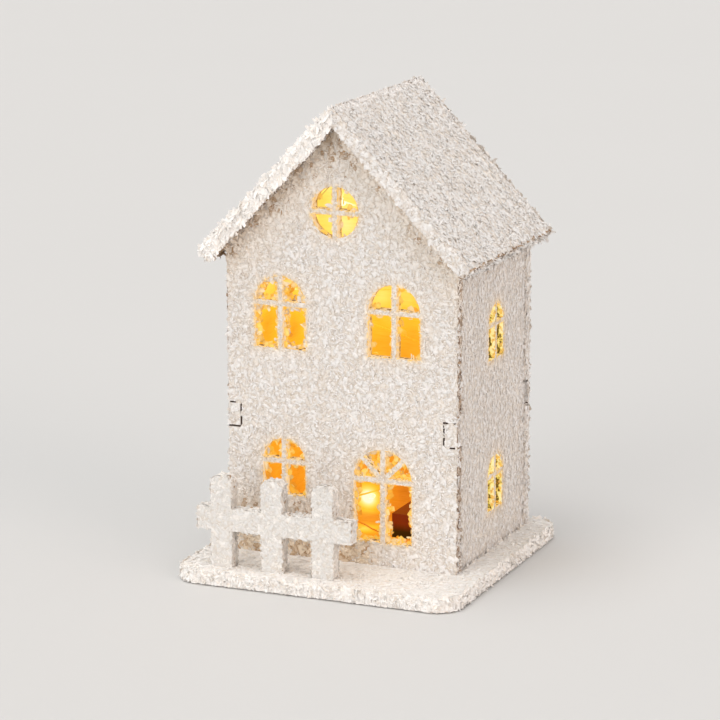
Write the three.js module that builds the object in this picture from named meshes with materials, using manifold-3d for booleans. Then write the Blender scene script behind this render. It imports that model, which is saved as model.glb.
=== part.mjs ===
// A small battery-lit winter house, made of laser-cut plywood and coated with paper snow.
// Millimetres, +Z up, front of the house towards -Y.
// The origin is under the middle of the base plate, on the surface that the house stands on.

import * as THREE from 'three';
import { mergeVertices } from 'three/addons/utils/BufferGeometryUtils.js';
import Module from 'manifold-3d';

const wasm = await Module();
wasm.setup();

// Sheets, coat and clearances
const board = 4;                // plywood of the walls, roof and fence
const baseThickness = 5;        // plywood of the base plate
const coat = 1.2;               // glued layer of snow flakes
const slip = 0.15;              // a tab in its slot, each side
const gap = 0.3;                // between pieces that are turned or cut round each other
const tabLift = 0.2;            // a tab ends this far above the table

// Base plate
const baseWidth = 130.6;
const baseDepth = 133.6;
const baseCorner = 10;

// House box: the side walls stand between the gable boards, a little inside their edges
const houseWidth = 107.6;
const houseDepth = 88.8;
const sideInset = 1;
const houseShiftX = -1.25;      // middle of the house from the middle of the base
const houseShiftY = 15.4;
const eaveHeight = 147.8;       // where a gable board's upright edge meets its slope

// Roof
const roofPitch = THREE.MathUtils.degToRad(46.3);
const roofSlopeLength = 85.7;   // from the ridge line down to the eave
const vergeFront = 9.4;         // overhang past the front board
const vergeBack = 1.3;

// Wall joints
const footTabWidth = 14;
const footTabSpread = 30;       // foot tabs of a gable board, from its middle
const sideFootTabWidth = 16;
const edgeTabHeight = 11;       // the side walls' tabs show in the gable boards' edges
const edgeTabBottom = 63.8;

// Windows: size, sill above the table, and middle from the wall's middle
const barWidth = 2.2;
const tallWindow = { width: 25, height: 33 };
const smallWindow = { width: 21, height: 26 };
const sideWindow = { width: 18, height: 25 };
const doorWindow = { width: 28, height: 42.6 };
const roundRadius = 11.5;
const roundHeight = 164.6;
const roundX = -2.8;
const upperSill = 101.3;
const upperLeftX = -29.5;
const upperRightX = 25.2;
const lowerLeftX = -28;
const lowerLeftSill = 34.2;
const doorX = 19.8;
const doorSill = 16.9;
const sideWindowY = 4.5;
const sideUpperSill = 93.8;
const sideLowerSill = 23.8;

// Fence
const picketWidth = 7.4;
const picketHeight = 41.5;      // above the base plate
const picketSpacing = 24.5;
const picketCount = 3;
const picketClip = 2;
const fenceX = -22.7;
const fenceSetback = 9.2;       // front edge of the base to the fence's face
const railHeight = 7.6;
const railBottom = 19.4;        // above the base plate
const railLength = 71.8;
const railShift = 1.1;
const fenceTabWidth = 5;

// Battery case, over its opening in the base
const caseLength = 42;
const caseWidth = 27;
const caseHeight = 11.4;
const caseWall = 1.6;
const caseSideRoom = 2.2;       // from the right wall
const caseBackRoom = 11.4;      // from the back wall
const caseSeat = 1.3;           // rim of the case on the base plate, all round
const partition = 1.2;
const cellBayLength = 22.8;
const cellRadius = 10;
const cellThickness = 3.2;
const cellRim = 0.4;            // rounding of the can's lower edge
const cellCapInset = 1.3;
const cellCapHeight = 0.5;
const lidThickness = 1.6;
const lidRecess = 0.3;
const lidClearance = 0.2;
const lidGrooveDepth = 0.4;
const lidGrooveWidth = 0.8;
const lidGrooveSpacing = 3.2;
const postRadius = 2;
const postInset = 2.3;
const screwHeadRadius = 1.6;
const screwHeadHeight = 1;
const screwShankRadius = 0.9;
const screwLength = 5;
const screwHoleClearance = 0.2;
const screwSlotLength = 1;
const screwSlotWidth = 0.22;
const contactThickness = 0.4;
const contactWidth = 4;
const sideContactThickness = 0.8;
const sideContactHeight = 4.8;
const switchWidth = 5;
const switchLength = 9;
const switchHeight = 4.4;
const knobWidth = 2.2;
const knobReach = 1.1;          // below the underside of the case
const knobDepth = 2;            // inside the switch
const knobTravel = 2.6;
const knobClearance = 0.3;
const leadRadius = 0.5;
const leadSpace = 0.9;          // from the lead's middle to a wall beside it

// Light string
const wireRadius = 0.4;
const wireSteps = 80;
const wireHoleRadius = 0.9;
const wireHoleHeight = 3;       // above the base plate
const wireHoleY = 6;
const lampRadius = 1.3;
const lampLength = 4;
const glueRadius = 2.4;
const glueHeight = 1;
const floorGlue = { x: -16.8, y: 14.4 };
const rightGlue = { y: 8, z: 60 };
const backGlue = { x: -6, z: 92 };
const leftGlue = { y: 14, z: 112 };

// Places that follow from the sizes above
const halfWidth = houseWidth / 2;
const halfDepth = houseDepth / 2;
const sideFace = halfWidth - sideInset;
const innerX = sideFace - board;
const innerY = halfDepth - board;
const pitchTangent = Math.tan(roofPitch);
const ridgeHeight = eaveHeight + halfWidth * pitchTangent;
const roofTop = gap + board;
const roofY0 = -halfDepth - vergeFront;
const roofLength = vergeFront + houseDepth + vergeBack;
const fenceY0 = -baseDepth / 2 + fenceSetback;
const caseX1 = innerX - caseSideRoom;
const caseX0 = caseX1 - caseLength;
const caseY1 = innerY - caseBackRoom;
const caseY0 = caseY1 - caseWidth;
const caseY = (caseY0 + caseY1) / 2;
const caseTop = baseThickness + caseHeight;
const caseCeiling = caseTop - caseWall;
const caseFloor = baseThickness + caseWall;
const bayX1 = caseX1 - caseWall;
const bayX0 = bayX1 - cellBayLength;
const bayY0 = caseY0 + caseWall;
const bayY1 = caseY1 - caseWall;
const bayX = (bayX0 + bayX1) / 2;
const switchBayX0 = caseX0 + caseWall;
const switchBayX1 = bayX0 - partition;
const switchX = (switchBayX0 + switchBayX1) / 2;
const lidBottom = baseThickness + lidRecess;
const lidTop = lidBottom + lidThickness;
const cellBottom = lidTop + gap;
const cellStackTop = cellBottom + 2 * cellThickness + slip;
const contactBottom = cellStackTop + gap;
const contactTop = contactBottom + contactThickness;
const postX = bayX0 + postInset;
const postY = bayY0 + postInset;
const wireHoleZ = baseThickness + wireHoleHeight;
const leadY = bayY1 - leadSpace;
const leadZ = cellBottom + cellThickness + leadSpace;
const switchPinZ = caseFloor + switchHeight / 2;

const wood = { color: '#c79a63', roughness: 0.75 };
const paperSnow = { color: '#ebe5dc', roughness: 0.85 };
const blackPlastic = { color: '#1d1b1b', roughness: 0.5 };
const steel = { color: '#b9bcc0', roughness: 0.35, metalness: 1 };
const copper = { color: '#a8643a', roughness: 0.4, metalness: 0.9 };
const redPlastic = { color: '#9c1d1a', roughness: 0.5 };
const lampResin = { color: '#ffd27a', roughness: 0.2 };
const hotGlue = { color: '#e9dfca', roughness: 0.35 };

// Helpers for solids

function toSolid(geometry) {
  const bare = geometry.index ? geometry.toNonIndexed() : geometry.clone();
  bare.deleteAttribute('normal');
  bare.deleteAttribute('uv');
  const merged = mergeVertices(bare, 1e-4);
  return new wasm.Manifold(new wasm.Mesh({
    numProp: 3,
    vertProperties: new Float32Array(merged.attributes.position.array),
    triVerts: new Uint32Array(merged.index.array),
  }));
}

function toGeometry(solid) {
  const mesh = solid.getMesh();
  const geometry = new THREE.BufferGeometry();
  geometry.setAttribute('position', new THREE.BufferAttribute(mesh.vertProperties, 3));
  geometry.setIndex(new THREE.BufferAttribute(mesh.triVerts, 1));
  geometry.computeVertexNormals();
  return geometry;
}

function piece(name, geometry, finish) {
  const mesh = new THREE.Mesh(geometry, new THREE.MeshStandardMaterial(finish));
  mesh.name = name;
  return mesh;
}

function boxSolid(x0, x1, y0, y1, z0, z1) {
  const geometry = new THREE.BoxGeometry(x1 - x0, y1 - y0, z1 - z0);
  geometry.translate((x0 + x1) / 2, (y0 + y1) / 2, (z0 + z1) / 2);
  return toSolid(geometry);
}

function uprightSolid(x, y, radius, z0, z1, sides = 20) {
  const geometry = new THREE.CylinderGeometry(radius, radius, z1 - z0, sides);
  geometry.rotateX(Math.PI / 2);
  geometry.translate(x, y, (z0 + z1) / 2);
  return toSolid(geometry);
}

function polygon(points) {
  return new THREE.Shape(points.map(([u, v]) => new THREE.Vector2(u, v)));
}

function rectangle(u0, u1, v0, v1) {
  return polygon([[u0, v0], [u1, v0], [u1, v1], [u0, v1]]);
}

function circle(radius, sides) {
  const points = [];
  for (let i = 0; i < sides; i += 1) {
    const angle = (i / sides) * 2 * Math.PI;
    points.push([radius * Math.cos(angle), radius * Math.sin(angle)]);
  }
  return polygon(points);
}

function roundedRectangle(width, depth, radius) {
  const shape = new THREE.Shape();
  const u = width / 2 - radius;
  const v = depth / 2 - radius;
  shape.absarc(u, -v, radius, -Math.PI / 2, 0);
  shape.absarc(u, v, radius, 0, Math.PI / 2);
  shape.absarc(-u, v, radius, Math.PI / 2, Math.PI);
  shape.absarc(-u, -v, radius, Math.PI, 1.5 * Math.PI);
  shape.closePath();
  return shape;
}

// A plate laid flat, with its outline in X and Y
function floorPlate(shape, z0, thickness) {
  const geometry = new THREE.ExtrudeGeometry(shape,
    { depth: thickness, bevelEnabled: false, curveSegments: 8 });
  geometry.translate(0, 0, z0);
  return toSolid(geometry);
}

// A plate that faces the front, with its outline in X and Z
function frontPlate(shape, y0, thickness) {
  const geometry = new THREE.ExtrudeGeometry(shape,
    { depth: thickness, bevelEnabled: false, curveSegments: 12 });
  geometry.rotateX(Math.PI / 2);
  geometry.translate(0, y0 + thickness, 0);
  return toSolid(geometry);
}

// A plate that faces the side, with its outline in Y and Z
function sidePlate(shape, x0, thickness) {
  const geometry = new THREE.ExtrudeGeometry(shape,
    { depth: thickness, bevelEnabled: false, curveSegments: 12 });
  geometry.applyMatrix4(new THREE.Matrix4().makeBasis(
    new THREE.Vector3(0, 1, 0), new THREE.Vector3(0, 0, 1), new THREE.Vector3(1, 0, 0)));
  geometry.translate(x0, 0, 0);
  return toSolid(geometry);
}

// Each opening goes right through a plate, with some room on both sides
function cutThrough(solid, plate, openings, start, thickness) {
  let cut = solid;
  for (const opening of openings) {
    cut = cut.subtract(plate(opening, start - thickness, 3 * thickness));
  }
  return cut;
}

// Windows

// One pane of a round head, between two bars that leave its centre at two angles
function headPane(u, v, radius, from, to) {
  const bar = barWidth / 2;
  const middle = (from + to) / 2;
  const reach = bar / Math.sin((to - from) / 2);
  const trim = Math.asin(bar / radius);
  const start = from + trim;
  const shape = new THREE.Shape();
  shape.moveTo(u + reach * Math.cos(middle), v + reach * Math.sin(middle));
  shape.lineTo(u + radius * Math.cos(start), v + radius * Math.sin(start));
  shape.absarc(u, v, radius, start, to - trim);
  shape.closePath();
  return shape;
}

function headPanes(u, v, radius, span, count) {
  const panes = [];
  for (let i = 0; i < count; i += 1) {
    panes.push(headPane(u, v, radius, (span * i) / count, (span * (i + 1)) / count));
  }
  return panes;
}

// An arched window has a transom where its arch springs, and one upright bar
function archedWindow(u, sill, size, headCount = 2) {
  const radius = size.width / 2;
  const spring = sill + size.height - radius;
  const bar = barWidth / 2;
  return [
    rectangle(u - radius, u - bar, sill, spring - bar),
    rectangle(u + bar, u + radius, sill, spring - bar),
    ...headPanes(u, spring, radius, Math.PI, headCount),
  ];
}

function frontWindows() {
  return [
    ...headPanes(roundX, roundHeight, roundRadius, 2 * Math.PI, 4),
    ...archedWindow(upperLeftX, upperSill, tallWindow),
    ...archedWindow(upperRightX, upperSill, tallWindow),
    ...archedWindow(lowerLeftX, lowerLeftSill, smallWindow),
    ...archedWindow(doorX, doorSill, doorWindow, 4),
  ];
}

function rightWindows() {
  return [
    ...archedWindow(sideWindowY, sideUpperSill, sideWindow),
    ...archedWindow(sideWindowY, sideLowerSill, sideWindow),
  ];
}

// Boards

function picketPlaces() {
  const places = [];
  for (let i = 0; i < picketCount; i += 1) {
    places.push(fenceX + (i - (picketCount - 1) / 2) * picketSpacing);
  }
  return places;
}

function basePlate() {
  const slot = (x0, x1, y0, y1) => rectangle(x0 - slip, x1 + slip, y0 - slip, y1 + slip);
  const openings = [];
  for (const front of [-1, 1]) {
    const y0 = houseShiftY + front * (halfDepth - board / 2) - board / 2;
    for (const side of [-1, 1]) {
      const x0 = houseShiftX + side * footTabSpread - footTabWidth / 2;
      openings.push(slot(x0, x0 + footTabWidth, y0, y0 + board));
    }
  }
  for (const side of [-1, 1]) {
    const x0 = houseShiftX + side * (sideFace - board / 2) - board / 2;
    openings.push(slot(x0, x0 + board,
      houseShiftY - sideFootTabWidth / 2, houseShiftY + sideFootTabWidth / 2));
  }
  for (const x of picketPlaces()) {
    openings.push(slot(x - fenceTabWidth / 2, x + fenceTabWidth / 2, fenceY0, fenceY0 + board));
  }
  openings.push(rectangle(
    houseShiftX + caseX0 + caseSeat, houseShiftX + caseX1 - caseSeat,
    houseShiftY + caseY0 + caseSeat, houseShiftY + caseY1 - caseSeat));
  const plate = floorPlate(roundedRectangle(baseWidth, baseDepth, baseCorner), 0, baseThickness);
  const solid = cutThrough(plate, floorPlate, openings, 0, baseThickness);
  return piece('base_plate', toGeometry(solid), wood);
}

function gableOutline(half) {
  const shoulder = ridgeHeight - half * pitchTangent;
  return polygon([
    [-half, baseThickness], [half, baseThickness], [half, shoulder], [0, ridgeHeight],
    [-half, shoulder],
  ]);
}

// The notch in each edge of a gable board, where a side wall's tab comes through
function edgeNotches() {
  const inside = innerX - slip;
  const outside = halfWidth + board;
  const bottom = edgeTabBottom - slip;
  const top = edgeTabBottom + edgeTabHeight + slip;
  return [rectangle(inside, outside, bottom, top), rectangle(-outside, -inside, bottom, top)];
}

function gableBoard(name, y0, windows) {
  let solid = frontPlate(gableOutline(halfWidth), y0, board);
  for (const side of [-1, 1]) {
    const x0 = side * footTabSpread - footTabWidth / 2;
    solid = solid.add(boxSolid(x0, x0 + footTabWidth, y0, y0 + board,
      tabLift, baseThickness + board));
  }
  solid = cutThrough(solid, frontPlate, [...windows, ...edgeNotches()], y0, board);
  return piece(name, toGeometry(solid), wood);
}

function sideWall(name, side, windows) {
  const x0 = side > 0 ? innerX : -sideFace;
  const top = ridgeHeight - sideFace * pitchTangent;
  let solid = sidePlate(rectangle(-innerY, innerY, baseThickness, top), x0, board);
  solid = solid.add(sidePlate(rectangle(-sideFootTabWidth / 2, sideFootTabWidth / 2,
    tabLift, baseThickness + board), x0, board));
  solid = solid.add(sidePlate(rectangle(-halfDepth, halfDepth,
    edgeTabBottom, edgeTabBottom + edgeTabHeight), x0, board));
  solid = cutThrough(solid, sidePlate, windows, x0, board);
  return piece(name, toGeometry(solid), wood);
}

// Roof, drawn along its slope: X runs down from the ridge line, Z stands out of the slope

// The right board laps over the ridge, and the left board butts against its underside
function roofBoard(name, lapsRidge) {
  const start = lapsRidge ? -roofTop / Math.sin(2 * roofPitch) : 0;
  const solid = frontPlate(
    rectangle(start, roofSlopeLength, gap, roofTop), roofY0, roofLength);
  return piece(name, toGeometry(solid), wood);
}

// Snow lies on a roof board's top, on its eave's edge and on both verges
function roofSnow(name) {
  const top = roofTop + coat;
  const end = roofSlopeLength + coat;
  const mitre = (z) => gap / 2 / Math.cos(roofPitch) - z * pitchTangent;
  const outside = frontPlate(polygon([[mitre(gap), gap], [end, gap], [end, top], [mitre(top), top]]),
    roofY0 - coat, roofLength + 2 * coat);
  const inside = frontPlate(rectangle(mitre(top) - coat, roofSlopeLength + gap, 0, roofTop + gap),
    roofY0 - gap, roofLength + 2 * gap);
  return piece(name, toGeometry(outside.subtract(inside)), paperSnow);
}

function roofSide(name, isRight) {
  const slope = new THREE.Group();
  slope.position.z = ridgeHeight;
  slope.rotation.y = roofPitch;
  slope.add(roofBoard(`roof_${name}`, isRight), roofSnow(`snow_roof_${name}`));
  if (isRight) return slope;
  const turned = new THREE.Group();
  turned.rotation.z = Math.PI;
  turned.position.y = 2 * roofY0 + roofLength;
  turned.add(slope);
  return turned;
}

// Fence

// The fence's outline, grown all round by the same amount, from its foot up
function fenceSolid(grow, foot) {
  const y0 = fenceY0 - grow;
  const depth = board + 2 * grow;
  const half = picketWidth / 2 + grow;
  const top = baseThickness + picketHeight + grow;
  const railX = fenceX + railShift;
  const railZ = baseThickness + railBottom;
  let solid = frontPlate(rectangle(
    railX - railLength / 2 - grow, railX + railLength / 2 + grow,
    railZ - grow, railZ + railHeight + grow), y0, depth);
  for (const x of picketPlaces()) {
    solid = solid.add(frontPlate(polygon([
      [x - half, foot], [x + half, foot], [x + half, top - picketClip],
      [x + half - picketClip, top], [x - half + picketClip, top], [x - half, top - picketClip],
    ]), y0, depth));
  }
  return solid;
}

function fence() {
  let solid = fenceSolid(0, baseThickness);
  for (const x of picketPlaces()) {
    solid = solid.add(boxSolid(x - fenceTabWidth / 2, x + fenceTabWidth / 2,
      fenceY0, fenceY0 + board, tabLift, baseThickness + board));
  }
  return piece('fence', toGeometry(solid), wood);
}

function fenceSnow() {
  const solid = fenceSolid(coat, baseThickness).subtract(fenceSolid(gap, 0));
  return piece('snow_fence', toGeometry(solid), paperSnow);
}

// Snow on the base and the walls

function baseSnow() {
  const top = baseThickness + coat;
  const reach = coat + gap;
  const outside = floorPlate(
    roundedRectangle(baseWidth + 2 * coat, baseDepth + 2 * coat, baseCorner + coat), gap, top - gap);
  const plate = floorPlate(
    roundedRectangle(baseWidth + gap, baseDepth + gap, baseCorner), 0, baseThickness);
  let solid = outside.subtract(plate).subtract(boxSolid(
    houseShiftX - halfWidth - reach, houseShiftX + halfWidth + reach,
    houseShiftY - halfDepth - reach, houseShiftY + halfDepth + reach, 0, top + coat));
  for (const x of picketPlaces()) {
    const half = picketWidth / 2 + reach;
    solid = solid.subtract(boxSolid(x - half, x + half,
      fenceY0 - reach, fenceY0 + board + reach, 0, top + coat));
  }
  return piece('snow_base', toGeometry(solid), paperSnow);
}

// Snow lies on a gable board's face and goes round its upright edges
function gableSnow(name, side, windows) {
  const depth = coat + board;
  const y0 = side > 0 ? innerY : -halfDepth - coat;
  const behind = side > 0 ? innerY - board : -halfDepth;
  const boardAndRoom = frontPlate(
    rectangle(-halfWidth, halfWidth, 0, 2 * ridgeHeight), behind, 2 * board);
  let solid = frontPlate(gableOutline(halfWidth + coat), y0, depth).subtract(boardAndRoom);
  for (const notch of edgeNotches()) {
    solid = solid.subtract(frontPlate(notch, behind, 2 * board));
  }
  solid = cutThrough(solid, frontPlate, windows, y0, depth);
  return piece(name, toGeometry(solid), paperSnow);
}

function sideSnow(name, side, windows) {
  const x0 = side > 0 ? sideFace : -sideFace - coat;
  const top = ridgeHeight - (sideFace + coat) * pitchTangent;
  const solid = sidePlate(rectangle(-innerY, innerY, baseThickness, top), x0, coat);
  return piece(name, toGeometry(cutThrough(solid, sidePlate, windows, x0, coat)), paperSnow);
}

// Battery case: open below over the cells, with a floor under the switch

function knobSlot(z0, z1) {
  const halfX = knobWidth / 2 + knobClearance;
  const halfY = (knobWidth + knobTravel) / 2 + knobClearance;
  return boxSolid(switchX - halfX, switchX + halfX, caseY - halfY, caseY + halfY, z0, z1);
}

function batteryCase() {
  const contactHalf = contactWidth / 2 + gap;
  let solid = boxSolid(caseX0, caseX1, caseY0, caseY1, baseThickness, caseTop)
    .subtract(boxSolid(bayX0, bayX1, bayY0, bayY1, 0, caseCeiling))
    .subtract(boxSolid(switchBayX0, switchBayX1, bayY0, bayY1, caseFloor, caseCeiling))
    .subtract(knobSlot(0, caseFloor + gap))
    .subtract(boxSolid(switchBayX1 - gap, bayX0 + gap, caseY - contactHalf, caseY + contactHalf,
      contactBottom - gap, caseCeiling))
    .subtract(boxSolid(switchBayX1 - gap, bayX0 + gap, leadY - leadSpace, bayY1,
      leadZ - leadSpace, leadZ + leadSpace));
  solid = solid
    .add(uprightSolid(postX, postY, postRadius, lidTop + lidClearance, caseCeiling + caseWall / 2))
    .subtract(uprightSolid(postX, postY, screwShankRadius + screwHoleClearance,
      0, lidTop + screwLength, 16));
  const wireHole = new THREE.CylinderGeometry(wireHoleRadius, wireHoleRadius, 3 * caseWall, 12);
  wireHole.rotateZ(Math.PI / 2);
  wireHole.translate(caseX0 + caseWall / 2, wireHoleY, wireHoleZ);
  return piece('battery_case', toGeometry(solid.subtract(toSolid(wireHole))), blackPlastic);
}

function batteryLid() {
  let solid = boxSolid(bayX0 + lidClearance, bayX1 - lidClearance,
    bayY0 + lidClearance, bayY1 - lidClearance, lidBottom, lidTop)
    .subtract(uprightSolid(postX, postY, screwHeadRadius + screwHoleClearance,
      0, lidBottom + screwHeadHeight + slip))
    .subtract(uprightSolid(postX, postY, screwShankRadius + screwHoleClearance,
      0, lidTop + gap, 16));
  for (const step of [1, 2, 3]) {
    const x = bayX1 - lidClearance - step * lidGrooveSpacing;
    solid = solid.subtract(boxSolid(x - lidGrooveWidth, x,
      caseY - cellRadius / 2, caseY + cellRadius / 2, 0, lidBottom + lidGrooveDepth));
  }
  return piece('battery_lid', toGeometry(solid), blackPlastic);
}

function lidScrew() {
  let solid = uprightSolid(postX, postY, screwHeadRadius, lidBottom, lidBottom + screwHeadHeight)
    .add(uprightSolid(postX, postY, screwShankRadius, lidBottom + slip,
      lidTop + screwLength - gap, 16));
  for (const [x, y] of [[screwSlotLength, screwSlotWidth], [screwSlotWidth, screwSlotLength]]) {
    solid = solid.subtract(boxSolid(postX - x, postX + x, postY - y, postY + y,
      0, lidBottom + screwHeadHeight / 2));
  }
  return piece('lid_screw', toGeometry(solid), steel);
}

// A coin cell is a can with a rounded lower rim, and a narrower cap on top
function coinCell(name, z0) {
  const capRadius = cellRadius - cellCapInset;
  const canTop = cellThickness - cellCapHeight;
  const profile = [
    [0, 0], [cellRadius - cellRim, 0], [cellRadius, cellRim], [cellRadius, canTop],
    [capRadius, canTop], [capRadius, cellThickness], [0, cellThickness],
  ];
  const geometry = new THREE.LatheGeometry(profile.map(([r, z]) => new THREE.Vector2(r, z)), 40);
  geometry.rotateX(Math.PI / 2);
  const mesh = piece(name, toGeometry(toSolid(geometry)), steel);
  mesh.position.set(bayX, caseY, z0);
  return mesh;
}

// A strip from the top of the cells to the switch, with its end turned down
function topContact() {
  const y0 = caseY - contactWidth / 2;
  const y1 = caseY + contactWidth / 2;
  const solid = boxSolid(switchX, bayX, y0, y1, contactBottom, contactTop)
    .add(boxSolid(switchX - contactThickness, switchX, y0, y1,
      caseFloor + switchHeight + gap, contactTop));
  return piece('cell_contact_top', toGeometry(solid), steel);
}

function sideContact() {
  const x0 = bayX + cellRadius + gap;
  const solid = boxSolid(x0, x0 + sideContactThickness, caseY - contactWidth / 2,
    caseY + contactWidth / 2, cellBottom, cellBottom + sideContactHeight);
  return piece('cell_contact_side', toGeometry(solid), steel);
}

function smoothPath(points) {
  return new THREE.CatmullRomCurve3(points.map(([x, y, z]) => new THREE.Vector3(x, y, z)));
}

function tube(path, radius, steps) {
  const geometry = new THREE.ExtrudeGeometry(circle(radius, 8),
    { extrudePath: path, steps, bevelEnabled: false });
  return toGeometry(toSolid(geometry));
}

// The lead goes from the side contact, past the cells, to the back end of the switch
function batteryLead() {
  const contactX = bayX + cellRadius + gap + sideContactThickness / 2;
  const contactEnd = caseY + contactWidth / 2 + gap;
  const points = [
    [contactX, contactEnd, leadZ - leadSpace],
    [contactX - 0.2, contactEnd + 3, leadZ - leadSpace / 2],
    [contactX - 1.6, leadY - 1.6, leadZ],
    [contactX - 4.4, leadY, leadZ],
    [bayX, leadY, leadZ],
    [bayX0 + 2, leadY, leadZ],
    [switchBayX1 - 1.5, leadY - 0.2, leadZ],
    [switchX + 0.6, leadY - 2.5, leadZ - 1],
    [switchX, caseY + switchLength / 2 + gap, switchPinZ],
  ];
  return piece('battery_lead', tube(smoothPath(points), leadRadius, 30), redPlastic);
}

function switchBody() {
  const solid = boxSolid(switchX - switchWidth / 2, switchX + switchWidth / 2,
    caseY - switchLength / 2, caseY + switchLength / 2, caseFloor, caseFloor + switchHeight)
    .subtract(knobSlot(0, caseFloor + knobDepth + knobClearance));
  return piece('switch_body', toGeometry(solid), steel);
}

// The knob rests at the lit end of its slot
function switchKnob() {
  const y0 = caseY - (knobWidth + knobTravel) / 2;
  const solid = boxSolid(switchX - knobWidth / 2, switchX + knobWidth / 2, y0, y0 + knobWidth,
    baseThickness - knobReach, caseFloor + knobDepth);
  return piece('switch_knob', toGeometry(solid), blackPlastic);
}

// Light string: one wire in loose loops from the switch up to the gable

// How far the wire's middle lies from a board where glue holds it
const gluedWire = glueHeight + gap + wireRadius;
const floorWire = baseThickness + gap + wireRadius;

// A fourth value marks a place where a lamp hangs on the wire
const wireRoute = [
  [switchX, caseY - switchLength / 2 - gap, switchPinZ],
  [switchX - 1, caseY - switchLength / 2 - 2.5, switchPinZ],
  [caseX0 + caseWall + 1, wireHoleY, wireHoleZ],
  [caseX0 - 1.5, wireHoleY, wireHoleZ],
  [-2.4, 4.6, floorWire + 0.4],
  [-9.1, 9.4, floorWire],
  [floorGlue.x, floorGlue.y, baseThickness + gluedWire],
  [-25, 9, 10],
  [-15, -1.5, 22],
  [-3.4, -3.6, 27.1, 'lamp'],
  [14, -5, 34],
  [34, -4, 46, 'lamp'],
  [innerX - gluedWire, rightGlue.y, rightGlue.z],
  [40, 24, 74, 'lamp'],
  [20, innerY - gluedWire - 3, 84],
  [backGlue.x, innerY - gluedWire, backGlue.z],
  [-32, 30, 102, 'lamp'],
  [-innerX + gluedWire, leftGlue.y, leftGlue.z],
  [-innerX + 4.8, -6, 119],
  [-38.7, -13.6, 121.3, 'lamp'],
  [-20, -10, 122],
  [8, 4, 122],
  [31, 12, 128, 'lamp'],
  [38, 6, 139],
  [28, -2, 150],
  [8, -4, 158],
  [-16.2, -3.6, 161.2, 'lamp'],
  [-21, 8, 164],
  [-12, 20, 171],
  [2, 18, 179],
  [6, 8, 185, 'lamp'],
];

function lightWire() {
  return piece('light_wire', tube(smoothPath(wireRoute), wireRadius, wireSteps), copper);
}

// The wire's straight stretch that passes a place, and the corner of the wire nearest to it
function nearestStretch(place) {
  const corners = smoothPath(wireRoute).getSpacedPoints(wireSteps);
  const stretches = corners.slice(1).map((end, index) => {
    const line = new THREE.Line3(corners[index], end);
    const foot = line.closestPointToPoint(place, true, new THREE.Vector3());
    return { line, foot, index, distance: foot.distanceTo(place) };
  });
  const nearest = stretches.reduce((a, b) => (b.distance < a.distance ? b : a));
  const past = nearest.foot.distanceTo(nearest.line.start) > nearest.line.distance() / 2;
  const corner = Math.min(Math.max(nearest.index + (past ? 1 : 0), 1), corners.length - 2);
  const bend = corners[corner].clone().multiplyScalar(2);
  bend.sub(corners[corner - 1]).sub(corners[corner + 1]);
  return { foot: nearest.foot, along: nearest.line.delta(new THREE.Vector3()).normalize(), bend };
}

// Lamps lie against the wire, each on the outer side of the wire's bend
function lamps() {
  const towardsFront = new THREE.Vector3(0, -0.1, 0);
  const places = wireRoute.filter((stop) => stop.length > 3);
  return places.map(([x, y, z], index) => {
    const { foot, along, bend } = nearestStretch(new THREE.Vector3(x, y, z));
    const away = bend.add(towardsFront).projectOnPlane(along).normalize();
    const geometry = new THREE.SphereGeometry(lampRadius, 12, 8);
    geometry.scale(1, lampLength / 2 / lampRadius, 1);
    const mesh = piece(`lamp_${index + 1}`, toGeometry(toSolid(geometry)), lampResin);
    mesh.position.copy(foot).addScaledVector(away, wireRadius + gap + lampRadius);
    mesh.quaternion.setFromUnitVectors(new THREE.Vector3(0, 1, 0), along);
    return mesh;
  });
}

// A dab of glue is a low dome that stands on a board, under the wire
function glueDab(name, place, direction) {
  const profile = [new THREE.Vector2(0, 0)];
  for (let i = 0; i < 4; i += 1) {
    const angle = (i / 4) * (Math.PI / 2);
    profile.push(new THREE.Vector2(glueRadius * Math.cos(angle), glueHeight * Math.sin(angle)));
  }
  profile.push(new THREE.Vector2(0, glueHeight));
  const mesh = piece(name, toGeometry(toSolid(new THREE.LatheGeometry(profile, 14))), hotGlue);
  mesh.position.set(...place);
  mesh.quaternion.setFromUnitVectors(new THREE.Vector3(0, 1, 0), new THREE.Vector3(...direction));
  return mesh;
}

function glueDabs() {
  return [
    glueDab('glue_dab_floor', [floorGlue.x, floorGlue.y, baseThickness], [0, 0, 1]),
    glueDab('glue_dab_right', [innerX, rightGlue.y, rightGlue.z], [-1, 0, 0]),
    glueDab('glue_dab_back', [backGlue.x, innerY, backGlue.z], [0, -1, 0]),
    glueDab('glue_dab_left', [-innerX, leftGlue.y, leftGlue.z], [1, 0, 0]),
  ];
}

const house = new THREE.Group();
house.position.set(houseShiftX, houseShiftY, 0);
house.add(
  gableBoard('front_wall', -halfDepth, frontWindows()), gableBoard('back_wall', innerY, []),
  sideWall('left_wall', -1, []), sideWall('right_wall', 1, rightWindows()),
  roofSide('right', true), roofSide('left', false),
  gableSnow('snow_front', -1, frontWindows()), gableSnow('snow_back', 1, []),
  sideSnow('snow_left', -1, []), sideSnow('snow_right', 1, rightWindows()),
  batteryCase(), batteryLid(), lidScrew(),
  coinCell('coin_cell_lower', cellBottom),
  coinCell('coin_cell_upper', cellBottom + cellThickness + slip),
  topContact(), sideContact(), batteryLead(), switchBody(), switchKnob(),
  lightWire(), ...lamps(), ...glueDabs(),
);

const part = new THREE.Group();
part.add(basePlate(), baseSnow(), fence(), fenceSnow(), house);

export default part;
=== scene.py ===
# %% [markdown]
# # A battery-lit winter house in paper snow
# The real object is a small plywood house, cut by a laser. Its outside is brushed with glue and
# covered in curled paper flakes, and a string of tiny lamps lights it from within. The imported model
# brings the boards, the battery case and the light string. This lesson models the flakes, strews them
# over the boards, and gives each piece its finish.

# %% Load the model
import math
from functools import partialmethod

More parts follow.
